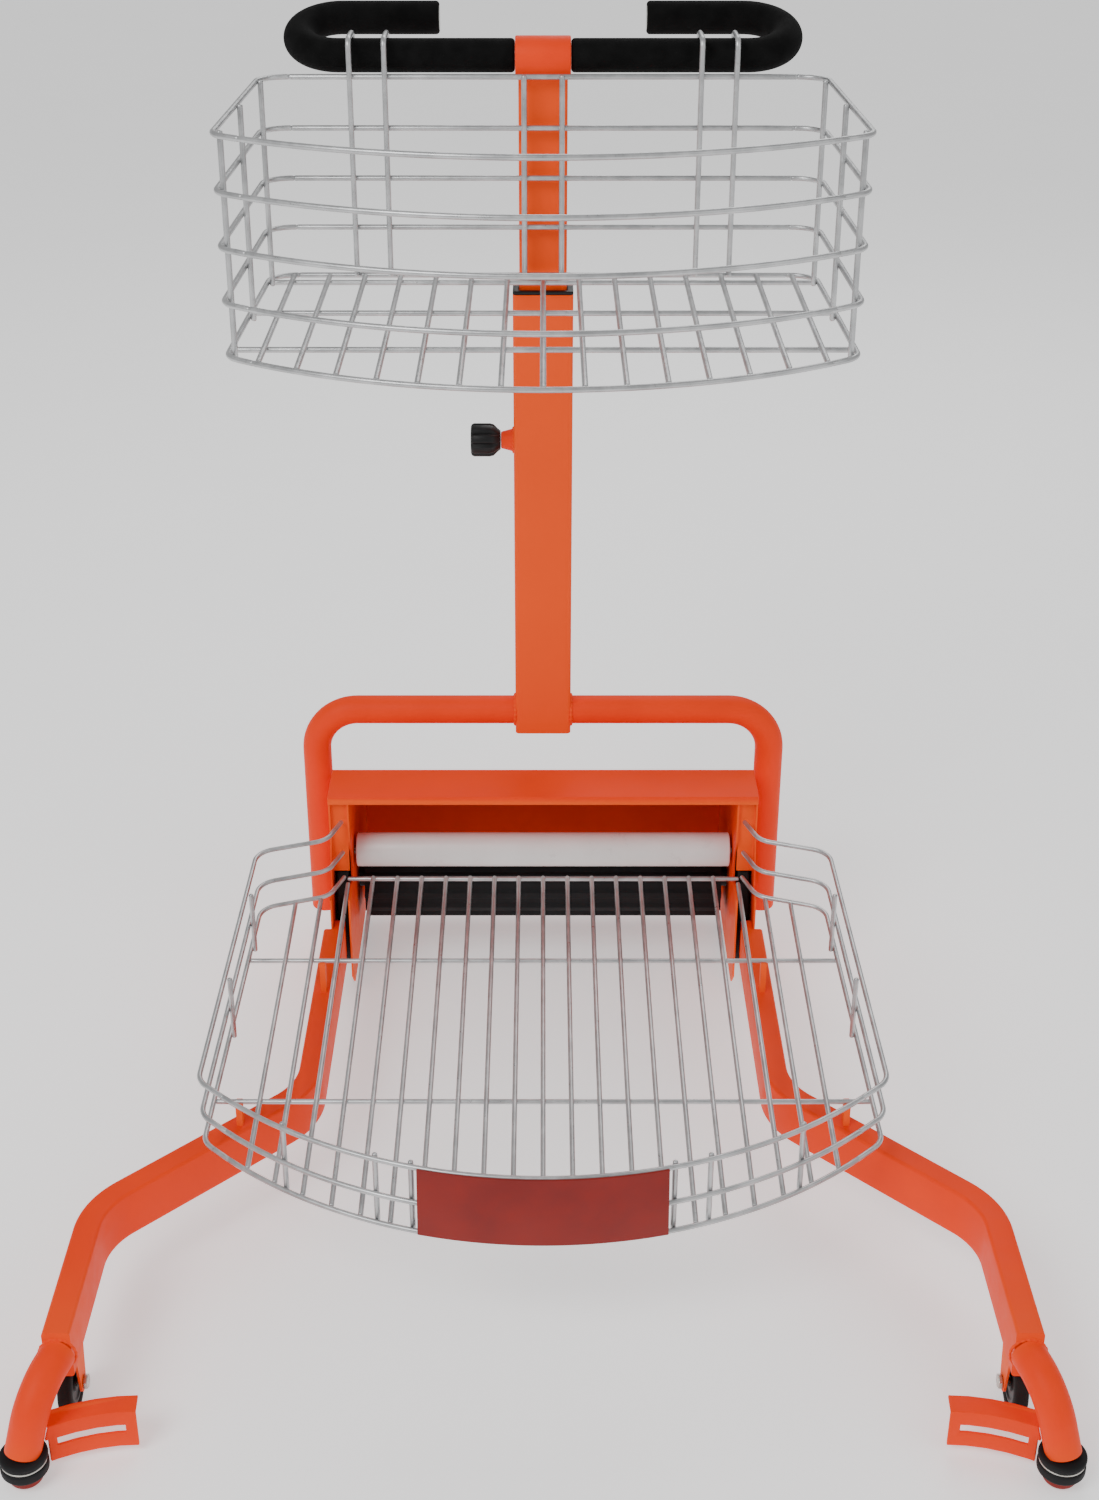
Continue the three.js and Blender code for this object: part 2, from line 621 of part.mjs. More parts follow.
function lowerBasket() {
  const { z, slope, levels, wire, bow, front, reach } = LOWER;
  const tilt = new THREE.Matrix4().set(
    1, 0, 0, 0,
    0, 1, 0, 0,
    0, slope, 1, z - slope * front,
    0, 0, 0, 1,
  );
  const side = flatLine([bowPoint(reach + wire / 2, bow, front), ...LOWER.side], LOWER.bend, 2);
  const rear = side.at(-1)[1];
  const rightInside = offsetLine(side, wire / 2 + GAP);
  const leftInside = rightInside.map(([x, y]) => [-x, y]).reverse();
  const frontInside = offsetLine(bowPoints(reach, bow, front, 8), wire / 2 + 2 * GAP);
  const back = [[rightInside.at(-1)[0], rear + wire], [leftInside[0][0], rear + wire]];
  const outline = [...frontInside, ...rightInside, ...back, ...leftInside];

  add("lower_basket_floor", basketFloor(outline).applyMatrix4(tilt), WIRE);
  const frontPosts = LOWER.frontPosts.map((x) => bowPoint(x, bow, front));
  const frontWall = wirePanel(bowPoints(reach, bow, front, 8), levels, frontPosts, wire);
  add("lower_basket_front", frontWall.applyMatrix4(tilt), WIRE);
  addPair("lower_basket_side", wirePanel(side, levels, LOWER.sidePosts, wire).applyMatrix4(tilt), WIRE);

  const offset = wire / 2 + GAP;
  const angle = Math.asin(BADGE.half / bow);
  const centre = front + bow;
  const plate = new THREE.Shape();
  const [first, last] = [-Math.PI / 2 - angle, -Math.PI / 2 + angle];
  plate.absarc(0, centre, bow + offset + BADGE.sheet, first, last, false);
  plate.absarc(0, centre, bow + offset, last, first, true);
  plate.closePath();
  add("front_plate", prismZ(plate, [0, BADGE.height], 8).applyMatrix4(tilt), RED);
}

function upperBasket() {
  const { z, rise, count, wire, bow, front, back, reach, rear, backReach } = UPPER;
  const levels = Array.from({ length: count }, (_, i) => i * rise);
  const [cornerX, cornerY] = bowPoint(UPPER.corner, bow, front);
  const start = bowPoint(reach + GAP, bow, front);
  const side = flatLine([start, [cornerX, cornerY], [rear, back], [backReach + GAP, back]], UPPER.bend, 2);
  const sideX = (y) => cornerX + ((rear - cornerX) * (y - cornerY)) / (back - cornerY);
  const rightInside = offsetLine(side, wire / 2 + GAP);
  const leftInside = rightInside.map(([x, y]) => [-x, y]).reverse();
  const frontInside = offsetLine(bowPoints(reach, bow, front, 8), wire / 2 + 2 * GAP);
  const outline = [...frontInside, ...rightInside, ...leftInside];

  const raise = (geometry) => geometry.translate(0, 0, z);
  add("upper_basket_floor", raise(basketFloor(outline)), WIRE);
  const frontPosts = UPPER.frontPosts.map((x) => bowPoint(x, bow, front));
  const frontWall = wirePanel(bowPoints(reach, bow, front, 8), levels, frontPosts, wire);
  add("upper_basket_front", raise(frontWall), WIRE);
  const backPosts = UPPER.backPosts.map((x) => [x, back]);
  const backWall = wirePanel([[-backReach, back], [backReach, back]], levels, backPosts, wire);
  add("upper_basket_back", raise(backWall), WIRE);
  const sidePosts = UPPER.sidePosts.map((y) => [sideX(y), y]);
  addPair("upper_basket_side", raise(wirePanel(side, levels, sidePosts, wire)), WIRE);

  const reachOver = BAR.foam + HOOK.wire + 0.5;
  const [ahead, behind, crest] = [back, ARCH.y + reachOver, BAR.z + reachOver];
  const foot = z + (count - 1) * rise + wire / 2 + GAP;
  const [near, far] = HOOK.x;
  const corners = [
    [near, ahead, foot],
    [near, ahead, crest],
    [near, behind, crest],
    [near, behind, HOOK.drop],
    [far, behind, HOOK.drop],
    [far, behind, crest],
    [far, ahead, crest],
    [far, ahead, foot],
  ];
  addPair("basket_hook", sweep(squareSection(2 * HOOK.wire), new BentPath(corners, HOOK.bend, 2)), WIRE);
}

arch();
mast();
clampKnob();
handlebar();
arms();
legFeet();
ballGuides();
frontWheels();
hood();
sideBoxes();
rotor();
driveWheels();
guideRoller();
lowerBasket();
upperBasket();

export default cart;
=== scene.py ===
"""Looks for the tennis ball collector cart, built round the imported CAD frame. Metres, +Z up."""
import json
from math import acos, asin, atan2, cos, hypot, pi, radians, sin, sqrt

import bpy
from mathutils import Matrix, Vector

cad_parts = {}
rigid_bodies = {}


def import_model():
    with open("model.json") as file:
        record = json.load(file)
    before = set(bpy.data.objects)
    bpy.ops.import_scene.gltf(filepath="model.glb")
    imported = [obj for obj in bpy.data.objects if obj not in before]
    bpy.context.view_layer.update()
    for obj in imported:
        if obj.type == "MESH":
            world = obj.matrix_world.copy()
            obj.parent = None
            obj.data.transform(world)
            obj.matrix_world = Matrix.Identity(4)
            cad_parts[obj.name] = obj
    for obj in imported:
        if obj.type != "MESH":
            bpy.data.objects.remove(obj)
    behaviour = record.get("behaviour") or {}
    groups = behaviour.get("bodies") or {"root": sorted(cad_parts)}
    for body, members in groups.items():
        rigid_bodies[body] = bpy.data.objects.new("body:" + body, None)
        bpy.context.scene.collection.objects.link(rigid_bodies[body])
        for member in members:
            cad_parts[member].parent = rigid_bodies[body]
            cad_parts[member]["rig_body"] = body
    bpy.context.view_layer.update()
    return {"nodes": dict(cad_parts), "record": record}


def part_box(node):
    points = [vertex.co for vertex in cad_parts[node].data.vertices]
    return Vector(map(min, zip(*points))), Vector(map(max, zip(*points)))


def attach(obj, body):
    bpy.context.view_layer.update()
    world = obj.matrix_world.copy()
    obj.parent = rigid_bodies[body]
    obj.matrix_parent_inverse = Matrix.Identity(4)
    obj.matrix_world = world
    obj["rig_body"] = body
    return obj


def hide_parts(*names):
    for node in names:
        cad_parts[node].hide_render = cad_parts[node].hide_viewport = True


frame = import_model()
SIDES = {"left": -1, "right": 1}

# ---- sizes that the CAD boxes don't give ----
GAP = 0.0003
SINK = 0.001  # how far joined shapes run into each other
CORE = 0.0001  # inner radius of a turned shape that is solid to its axis
ARCH_BEND = 0.050
MAST = {"corner": 0.005, "inner_corner": 0.004, "boss": (0.009, 0.013)}
# weld beads: how far outside the tube each runs, its own radius, and how far off the face it stands
WELD = {"arch": (0.0008, 0.0018, 0.0004), "boss": (0.0002, 0.0013, 0.0003), "leg": (0.0002, 0.0013, 0)}
# profile: distance along the knob, share of its radius
KNOB = {"profile": ((0, 0.55), (0, 0.80), (0.001, 0.93), (0.0035, 1.0), (0.021, 1.0), (0.025, 0.94),
                    (0.029, 0.72), (0.0325, 0.56)),
        "flutes": 8, "flute": 0.0026, "pitch": 0.00125, "thread": (0.0034, 0.0040)}
RAIL = {"corner": 0.080, "edge": 0.0035, "width": 0.025, "x": 0.240, "bend": -0.057, "low": 0.062,
        "high": 0.112}
ARM = {"x": 0.424, "elbow": -0.240, "tip": -0.412}
LEG = {"r": 0.016, "bend": 0.045, "start": (0.424, -0.411, 0.088), "knee": (0.436, -0.455, 0.084),
       "foot": (0.448, -0.470, 0.0318)}
FORK = {"plates": (0.4125, 0.4335), "sheet": 0.002, "end": 0.009, "half": 0.014}
FRONT = {"bore": 0.0043, "hub": (0.008, 0.009), "dish": 0.0015, "bead": 0.004, "lip": 0.0025, "inset": 0.001}
STANDS = {"places": ((0.301, -0.118), (0.240, 0.116)), "half_x": 0.003, "half_y": 0.006}
HORN = {"bend": 0.0423, "end": 0.107, "bar": 0.0125, "foam": 0.0165}
ROLLER = {"r": 0.021, "hub": 0.012, "groove": (0.0223, 0.0246), "bore": 0.0053, "washer": 0.020,
          "cap": 0.015, "pin": 0.005, "chamfer": 0.003}
DRIVE = {"axle": 0.008, "bore": 0.0083, "boss": 0.014, "boss_end": 0.212, "hub": 0.020, "web": 0.080,
         "rim": 0.084, "edge": 0.094, "tyre": 0.105, "inset": 0.002, "dish": 0.002}
GUIDE_SHAFT = 0.005
# short: where the outermost floor wires end, by their number from the middle
LOWER = {"wire": 0.0026, "bow": 0.460, "slope": 0.0507, "rises": (0, 0.033, 0.073), "base": 0.130,
         "reach": 0.2986, "side": ((0.3265, -0.181), (0.318, 0.212), (0.243, 0.2365), (0.229, 0.276)),
         "bend": 0.025, "front_posts": (-0.240, -0.152, -0.119, 0.119, 0.152, 0.240),
         "side_posts": (-0.020, 0.130), "pitch": 0.028, "rear": 0.275, "rear_half": 0.226,
         "short": {8: 0.262, 9: 0.230, 10: 0.221}, "cross": (0.116, -0.118)}
BADGE = {"sheet": 0.002, "height": 0.075, "edge": 0.0008}
UPPER = {"wire": 0.0028, "bow": 0.480, "pitch": 0.037, "reach": 0.2623, "corner": 0.290, "rear": 0.283,
         "back_reach": 0.2533, "bend": 0.028, "side_posts": (0.080, 0.205, 0.335), "back_post": 0.019,
         "cross": (0.349, 0.233, 0.108), "hook": (0.158, 0.193), "hook_bend": 0.008}
HOOD = {"r": 0.115, "sheet": 0.002, "lip": 0.273, "crown": 0.339, "fold": 0.010, "chamfer": 0.001,
        "tail": -45}
PLATE = {"chin": 0.044, "sill": 0.148, "notch": (0.151, 0.178), "neck": 0.205, "inset": 0.003,
         "inner": 0.292, "outer": 0.264}
FLAP = {"near": 0.2234, "y": (0.281, 0.283), "z": (0.165, 0.262)}
FASTENER = {"nut": 0.0125, "bolt": 0.0065, "out": 0.0029, "ahead": 0.118, "heights": (0.085, 0.055)}

# ---- studio ----
STUDIO = {"floor": 24, "glow": 0.5, "sky": 0.5, "aim": (0, 0, 0.5)}
# each light's place, size and power
LIGHTS = {"key": ((-1.8, -2.2, 3.2), 1.8, 75), "fill": ((2.4, -1.6, 2.2), 2.2, 16),
          "rim": ((0.6, 2.6, 2.8), 2.0, 30)}
CAMERA = {"place": (0, -1.757, 1.383), "tilt": 62.5, "sensor": 24, "lens": 32.8, "shift": 0.0043}


# ---- materials ----
def principled(name):
    made = bpy.data.materials.new(name)
    made.use_nodes = True
    return made, made.node_tree, made.node_tree.nodes["Principled BSDF"]


def add_node(tree, kind, **inputs):
    node = tree.nodes.new(kind)
    for key, value in inputs.items():
        node.inputs[key.replace("_", " ")].default_value = value
    return node


def ramp(tree, source, stops):
    node = tree.nodes.new("ShaderNodeValToRGB")
    elements = node.color_ramp.elements
    elements[0].position, elements[0].color = stops[0][0], (*stops[0][1], 1)
    elements[1].position, elements[1].color = stops[-1][0], (*stops[-1][1], 1)
    for place, colour in stops[1:-1]:
        elements.new(place).color = (*colour, 1)
    tree.links.new(source, node.inputs["Fac"])
    return node.outputs["Color"]


def surface(name, dark, light, rough, fine, bump, metallic=0.0, coarse=14.0, depth=0.0002, specular=0.5,
            edge=None):
    """Colour that drifts between two shades, uneven gloss, a fine bump, and optionally paler worn edges."""
    made, tree, shader = principled(name)
    where = tree.nodes.new("ShaderNodeTexCoord")
    broad = add_node(tree, "ShaderNodeTexNoise", Scale=coarse, Detail=6.0, Roughness=0.6)
    grain = add_node(tree, "ShaderNodeTexNoise", Scale=fine, Detail=3.0, Roughness=0.5)
    smudge = add_node(tree, "ShaderNodeTexNoise", Scale=coarse * 4, Detail=5.0, Roughness=0.65)
    for texture in (broad, grain, smudge):
        tree.links.new(where.outputs["Object"], texture.inputs["Vector"])
    colour = ramp(tree, broad.outputs["Fac"], [(0.35, dark), (0.65, light)])
    if edge:
        shape = tree.nodes.new("ShaderNodeNewGeometry")
        worn = ramp(tree, shape.outputs["Pointiness"], [(0.54, (0, 0, 0)), (0.62, (1, 1, 1))])
        mix = tree.nodes.new("ShaderNodeMix")
        mix.data_type = "RGBA"
        mix.inputs[7].default_value = (*edge, 1)
        tree.links.new(colour, mix.inputs[6])
        tree.links.new(worn, mix.inputs[0])
        colour = mix.outputs[2]
    tree.links.new(colour, shader.inputs["Base Color"])
    low, high = rough
    gloss = add_node(tree, "ShaderNodeMapRange", From_Min=0.3, From_Max=0.7, To_Min=low, To_Max=high)
    tree.links.new(smudge.outputs["Fac"], gloss.inputs["Value"])
    tree.links.new(gloss.outputs["Result"], shader.inputs["Roughness"])
    relief = add_node(tree, "ShaderNodeBump", Strength=bump, Distance=depth)
    tree.links.new(grain.outputs["Fac"], relief.inputs["Height"])
    tree.links.new(relief.outputs["Normal"], shader.inputs["Normal"])
    shader.inputs["Metallic"].default_value = metallic
    shader.inputs["Specular IOR Level"].default_value = specular
    return made


MATERIALS = {
    "orange": surface("orange_powder_coat", (0.90, 0.042, 0.0006), (0.96, 0.048, 0.0008), (0.46, 0.58),
                      fine=1400, bump=0.16, specular=0.14, edge=(1.0, 0.10, 0.006)),
    "red_paint": surface("red_paint", (0.20, 0.007, 0.004), (0.27, 0.012, 0.006), (0.40, 0.54), fine=1100,
                         bump=0.12, specular=0.3),
    "foam": surface("closed_cell_foam", (0.0025, 0.0025, 0.0025), (0.006, 0.006, 0.006), (0.86, 0.97),
                    coarse=60, fine=1300, bump=0.7, depth=0.0006, specular=0.12),
    "black_plastic": surface("moulded_plastic", (0.004, 0.004, 0.0045), (0.009, 0.009, 0.0095), (0.36, 0.52),
                             fine=1800, bump=0.22, specular=0.3),
    "rubber": surface("rubber", (0.004, 0.004, 0.0045), (0.011, 0.011, 0.012), (0.62, 0.8), fine=1200,
                      bump=0.35, specular=0.25),
    "tyre": surface("tyre_rubber", (0.006, 0.006, 0.006), (0.016, 0.0155, 0.015), (0.68, 0.86), coarse=30,
                    fine=900, bump=0.45, depth=0.0004, specular=0.25),
    "white_plastic": surface("white_roller", (0.80, 0.79, 0.77), (0.88, 0.875, 0.86), (0.25, 0.4), coarse=9,
                             fine=1500, bump=0.05),
    "wire": surface("plated_wire", (0.40, 0.405, 0.41), (0.56, 0.565, 0.57), (0.26, 0.42), metallic=0.75,
                    coarse=40, fine=1600, bump=0.2),
    "zinc": surface("zinc_plating", (0.42, 0.41, 0.38), (0.58, 0.57, 0.52), (0.2, 0.38), metallic=0.95,
                    coarse=50, fine=1500, bump=0.12),
}


# ---- mesh making ----
def piece(name, vertices, faces, slot, body, nodes=(), smooth=35, bevel=0.0):
    mesh = bpy.data.meshes.new(name)
    mesh.from_pydata([tuple(v) for v in vertices], [], faces)
    mesh.validate()
    made = bpy.data.objects.new(name, mesh)
    bpy.context.scene.collection.objects.link(made)
    return finish_piece(made, slot, body, nodes, smooth, bevel)


def finish_piece(made, slot, body, nodes, smooth, bevel):
    for other in bpy.context.selected_objects:
        other.select_set(False)
    made.select_set(True)
    bpy.context.view_layer.objects.active = made
    bpy.ops.object.mode_set(mode="EDIT")
    bpy.ops.mesh.select_all(action="SELECT")
    bpy.ops.mesh.normals_make_consistent(inside=False)
    bpy.ops.object.mode_set(mode="OBJECT")
    if bevel:
        rounding = made.modifiers.new("edges", "BEVEL")
        rounding.width = bevel
        rounding.segments = 3
        rounding.limit_method = "ANGLE"
        rounding.angle_limit = radians(38)
        rounding.use_clamp_overlap = True
        bpy.ops.object.modifier_apply(modifier=rounding.name)
    made.data.polygons.foreach_set("use_smooth", [True] * len(made.data.polygons))
    made.data.set_sharp_from_angle(angle=radians(smooth))
    made.data.materials.clear()
    made.data.materials.append(MATERIALS[slot])
    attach(made, body)
    if nodes:
        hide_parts(*nodes)
    return made


def refine(node, bevel):
    """The node's own shape with softened edges, standing for the node."""
    source = frame["nodes"][node]
    slot = next(part["material_slot"] for part in frame["record"]["subparts"] if part["node"] == node)
    made = bpy.data.objects.new(node + "_fine", source.data.copy())
    bpy.context.scene.collection.objects.link(made)
    bpy.context.view_layer.objects.active = made
    made.select_set(True)
    weld = made.modifiers.new("weld", "WELD")
    weld.merge_threshold = 1e-5
    bpy.ops.object.modifier_apply(modifier=weld.name)
    flat = made.modifiers.new("flat", "DECIMATE")
    flat.decimate_type = "DISSOLVE"
    flat.angle_limit = radians(1)
    bpy.ops.object.modifier_apply(modifier=flat.name)
    return finish_piece(made, slot, source["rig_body"], [node], 30, bevel)


def corner_points(before, corner, after, radius, steps):
    """The round that takes a path past one corner."""
    back = (before - corner).normalized()
    ahead = (after - corner).normalized()
    half = back.angle(ahead) / 2
    centre = corner + (back + ahead).normalized() * (radius / sin(half))
    start = corner + back * (radius / sin(half) * cos(half)) - centre
    end = corner + ahead * (radius / sin(half) * cos(half)) - centre
    total = start.angle(end)
    points = []
    for i in range(steps + 1):
        t = i / steps
        mixed = start * (sin((1 - t) * total) / sin(total)) + end * (sin(t * total) / sin(total))
        points.append(centre + mixed)
    return points


def rounded(corners, radius, steps=10):
    """A path through the corners, each of them taken with the same bend."""
    points = [Vector(c) for c in corners]
    path = [points[0]]
    for before, corner, after in zip(points, points[1:], points[2:]):
        path += corner_points(before, corner, after, radius, steps)
    return path + [points[-1]]


def circle(r, sides=32):
    return [(r * cos(2 * pi * i / sides), r * sin(2 * pi * i / sides)) for i in range(sides)]


def rounded_rectangle(width, height, r, steps=5):
    points = []
    for quarter, (sx, sy) in enumerate([(1, 1), (-1, 1), (-1, -1), (1, -1)]):
        for i in range(steps + 1):
            angle = (quarter + i / steps) * pi / 2
            points.append((sx * (width / 2 - r) + r * cos(angle), sy * (height / 2 - r) + r * sin(angle)))
    return points


def arc(y, z, r, start, end, steps=48):
    angles = [start + (end - start) * i / steps for i in range(steps + 1)]
    return [(y + r * cos(a), z + r * sin(a)) for a in angles]


def mirrored(points, sign):
    return [(sign * x, y, z) for x, y, z in points]


def tube_faces(n, rings):
    """Faces that join rings of n points into a tube with both ends closed."""
    faces = []
    for ring in range(rings - 1):
        for k in range(n):
            a, b = ring * n + k, ring * n + (k + 1) % n
            faces.append((a, b, b + n, a + n))
    return faces + [tuple(range(n))[::-1], tuple(range(n * (rings - 1), n * rings))]


def rounded_end(ring, ahead, ends, radius):
    """Rings that shrink towards the end of a sweep, which lies ahead."""
    at, side, over, _ = ring
    rings = []
    for angle in (0, 30, 60, 80):
        inward = ends * (1 - sin(radians(angle)))
        scale = 1 - ends / radius * (1 - cos(radians(angle)))
        rings.append((at - ahead * inward, side, over, scale))
    return rings


def swept(section, path, up=(0, 0, 1), ends=0.0):
    """Vertices and faces of a section carried along a path; ends rounds the two ends by that much."""
    path = [Vector(p) for p in path]
    steps = [(b - a).normalized() for a, b in zip(path, path[1:])]
    rings = []
    side = None
    for at, before, after in zip(path, steps[:1] + steps, steps + steps[-1:]):
        ahead = (before + after).normalized()
        if side is None:
            hint = Vector((0, 1, 0)) if abs(ahead.dot(Vector(up))) > 0.9 else Vector(up)
            side = ahead.cross(hint)
        side = (side - ahead * side.dot(ahead)).normalized()
        rings.append((at, side, side.cross(ahead), 1))
    if ends:
        radius = max(hypot(x, y) for x, y in section)
        start = rounded_end(rings[0], -steps[0], ends, radius)
        rings = start[::-1] + rings[1:-1] + rounded_end(rings[-1], steps[-1], ends, radius)
    vertices = [at + side * (x * s) + over * (y * s) for at, side, over, s in rings for x, y in section]
    return vertices, tube_faces(len(section), len(rings))


def bundle(parts):
    """Several shapes as one."""
    vertices, faces = [], []
    for more, these in parts:
        start = len(vertices)
        vertices += more
        faces += [tuple(i + start for i in face) for face in these]
    return vertices, faces


def soften(profile, r, steps=4):
    """A closed outline with its corners rounded by r."""
    count = len(profile)
    points = []
    for i in range(count):
        before, at, after = (Vector(profile[(i + k) % count]) for k in (-1, 0, 1))
        reach = min(r, (before - at).length * 0.45, (after - at).length * 0.45)
        start = at + (before - at).normalized() * reach
        end = at + (after - at).normalized() * reach
        for k in range(steps + 1):
            t = k / steps
            points.append(start * (1 - t) ** 2 + at * (2 * t * (1 - t)) + end * t * t)
    return points


def band(inner, outer, start, end):
    """The outline of a plain ring or rod: its two radii, and its two ends along its axis."""
    return [(inner, start), (outer, start), (outer, end), (inner, end)]


def turned(profile, y, z, round_by, segments=72, x_sign=1):
    """A closed [radius, x] outline turned about a line along X."""
    outline = soften(profile, round_by)
    vertices = []
    for k in range(segments):
        angle = 2 * pi * k / segments
        vertices += [Vector((x_sign * x, y + r * cos(angle), z + r * sin(angle))) for r, x in outline]
    return vertices, grid_faces(len(outline), segments)


def turned_z(profile, x, y, round_by, segments=56):
    """A closed [radius, z] outline turned about a line along Z."""
    outline = soften(profile, round_by)
    vertices = []
    for k in range(segments):
        angle = 2 * pi * k / segments
        vertices += [Vector((x + r * cos(angle), y + r * sin(angle), z)) for r, z in outline]
    return vertices, grid_faces(len(outline), segments)


def grid_faces(n, segments):
    """Faces that join closed outlines of n points into a ring."""
    faces = []
    for k in range(segments):
        for i in range(n):
            a, b = k * n + i, k * n + (i + 1) % n
            c, d = ((k + 1) % segments) * n + (i + 1) % n, ((k + 1) % segments) * n + i
            faces.append((a, b, c, d))
    return faces


def slab(outline, x0, x1):
    """A Y-Z outline made solid between two X values."""
    vertices = [Vector((x, y, z)) for x in (x0, x1) for y, z in outline]
    return vertices, tube_faces(len(outline), 2)


def block(low, high):
    (x0, y0, z0), (x1, y1, z1) = low, high
    return slab([(y0, z0), (y1, z0), (y1, z1), (y0, z1)], x0, x1)


def bead(centre, r, wire, axis, lumps=20, steps=120, sides=8):
    """A weld bead: a slightly lumpy ring round a tube."""
    normal = Vector(axis).normalized()
    first = normal.orthogonal().normalized()
    second = normal.cross(first)
    vertices = []
    for k in range(steps):
        angle = 2 * pi * k / steps
        out = first * cos(angle) + second * sin(angle)
        lump = wire * (1 + 0.18 * sin(angle * lumps))
        for i in range(sides):
            turn = 2 * pi * i / sides
            vertices.append(Vector(centre) + out * (r + lump * cos(turn)) + normal * (lump * sin(turn)))
    return vertices, grid_faces(sides, steps)


def round_part(node):
    """Y and Z of the axis of a round part that lies along X, and its radius, from its box."""
    low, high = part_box(node)
    return (low.y + high.y) / 2, (low.z + high.z) / 2, (high.z - low.z) / 2


def inner_outer(node):
    """How far a part's inner and outer faces are from the middle plane."""
    low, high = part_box(node)
    return sorted((abs(low.x), abs(high.x)))


# ---- arch, mast and handlebar ----
def build_arch():
    low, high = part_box("arch_frame")
    r = (high.y - low.y) / 2
    y = (high.y + low.y) / 2
    x, top = high.x - r, high.z - r
    corners = [(-x, y, low.z), (-x, y, top), (x, y, top), (x, y, low.z)]
    shape = swept(circle(r, 44), rounded(corners, ARCH_BEND, 18), up=(0, 1, 0), ends=0.002)
    piece("arch_tube", *shape, "orange", "chassis", ["arch_frame"])
    return y, top, r


def build_mast(y, arch_z, arch_r):
    low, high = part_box("mast_outer_tube")
    wide = high.x
    ring = rounded_rectangle(2 * wide, high.y - low.y, MAST["corner"])
    lower = swept(ring, [(0, y, low.z), (0, y, high.z)], up=(0, 1, 0))
    z = round_part("clamp_screw")[1]
    tip, foot = MAST["boss"]
    root = -wide + SINK
    boss = turned([(CORE, low.x), (tip, low.x), (foot, root), (CORE, root)], y, z, 0.0012)
    out, wire, off = WELD["boss"]
    welds = [bead((-wide - off, y, z), foot + out, wire, (1, 0, 0))]
    out, wire, off = WELD["arch"]
    for sign in SIDES.values():
        welds.append(bead((sign * (wide + off), y, arch_z), arch_r + out, wire, (1, 0, 0)))
    piece("mast_lower_tube", *bundle([lower, boss, *welds]), "orange", "chassis", ["mast_outer_tube"])

    refine("mast_collar", 0.0015)
    low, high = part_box("mast_inner_tube")
    ring = rounded_rectangle(2 * high.x, high.y - low.y, MAST["inner_corner"])
    upper = swept(ring, [(0, y, low.z), (0, y, high.z)], up=(0, 1, 0))
    piece("mast_upper_tube", *upper, "orange", "handle", ["mast_inner_tube"])


def build_knob(y):
    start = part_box("clamp_knob")[0].x
    _, z, r = round_part("clamp_knob")
    sides = 128
    vertices = []
    for along, scale in KNOB["profile"]:
        depth = KNOB["flute"] * (1 if scale > 0.8 else 0.2)
        for k in range(sides):
            angle = 2 * pi * k / sides
            radius = r * scale - depth * max(0.0, cos(angle * KNOB["flutes"])) ** 2
            vertices.append(Vector((start + along, y + radius * cos(angle), z + radius * sin(angle))))
    faces = tube_faces(sides, len(KNOB["profile"]))
    piece("knob_grip", vertices, faces, "black_plastic", "knob", ["clamp_knob"])
    low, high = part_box("clamp_screw")
    pitch = KNOB["pitch"]
    root, crest = KNOB["thread"]
    outline = [(CORE, low.x)]
    for i in range(int((high.x - low.x) / pitch)):
        x = low.x + i * pitch
        outline += [(crest, x + 0.24 * pitch), (root, x + 0.72 * pitch)]
    outline.append((CORE, high.x))
    piece("knob_screw", *turned(outline, y, z, 0.0001, 32), "zinc", "knob", ["clamp_screw"], smooth=60)


def horn(start, y, z, back, rise, reach, sign):
    """Corners of one side of the bar: out from start, then back and up, then in along the grip."""
    end = HORN["end"]
    corners = [(start, y, z), (reach, y, z), (reach, y + back, z + rise), (end, y + back, z + rise)]
    return mirrored(corners, sign)


def build_handlebar(y):
    low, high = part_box("foam_grip_right")
    clamp_low, clamp_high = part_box("bar_clamp")
    foam = HORN["foam"]
    reach = high.x - foam
    z = low.z + foam
    back, rise = high.y - foam - y, high.z - foam - z
    left = horn(0, y, z, back, rise, reach, -1)[::-1]
    right = horn(0, y, z, back, rise, reach, 1)
    path = rounded(left[:-1] + right[1:], HORN["bend"], 14)
    piece("handlebar_tube", *swept(circle(HORN["bar"], 32), path), "zinc", "handle", ["handlebar"])
    for name, sign in SIDES.items():
        corners = horn(low.x, y, z, back, rise, reach, sign)
        shape = swept(circle(foam, 44), rounded(corners, HORN["bend"], 18), ends=0.0035)
        grip = piece(f"foam_{name}", *shape, "foam", "handle", [f"foam_grip_{name}"])
    r = (clamp_high.y - clamp_low.y) / 2
    outline = [(y - r, clamp_low.z), (y + r, clamp_low.z), *arc(y, z, r, 0, pi, 28)]
    shape = slab(outline, clamp_low.x, clamp_high.x)
    piece("bar_clamp_block", *shape, "orange", "handle", ["bar_clamp"], bevel=0.0014)


# ---- arms, legs and wheels ----


